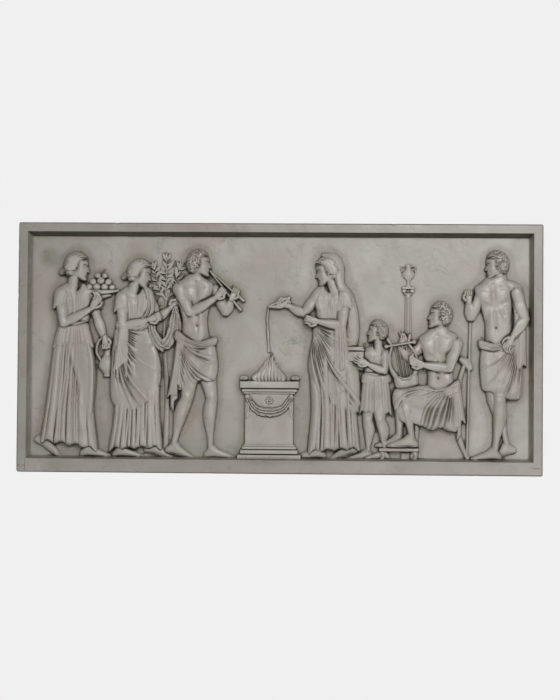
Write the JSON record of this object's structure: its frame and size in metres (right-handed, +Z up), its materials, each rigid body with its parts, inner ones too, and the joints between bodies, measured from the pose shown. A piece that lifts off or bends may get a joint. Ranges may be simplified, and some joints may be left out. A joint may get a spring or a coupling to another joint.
{
  "type": "marble relief plaque",
  "caption": "Oblong marble wall plaque with a plain raised border and a classical frieze of draped figures bringing offerings to a garlanded altar, carved in medium relief.",
  "frame": {"origin": "centre of the flat back face, the face that lies against the wall", "axes": "+X to the viewer's right along the length, +Y back into the wall, +Z up; the relief faces -Y"},
  "size_m": [0.88, 0.052, 0.42],
  "materials": {
    "marble": "aged, hand-rubbed pale grey marble with a soft wax sheen, grimed in the hollows"
  },
  "bodies": {
    "root": {"marble_relief_plaque": "marble"}
  },
  "joints": []
}
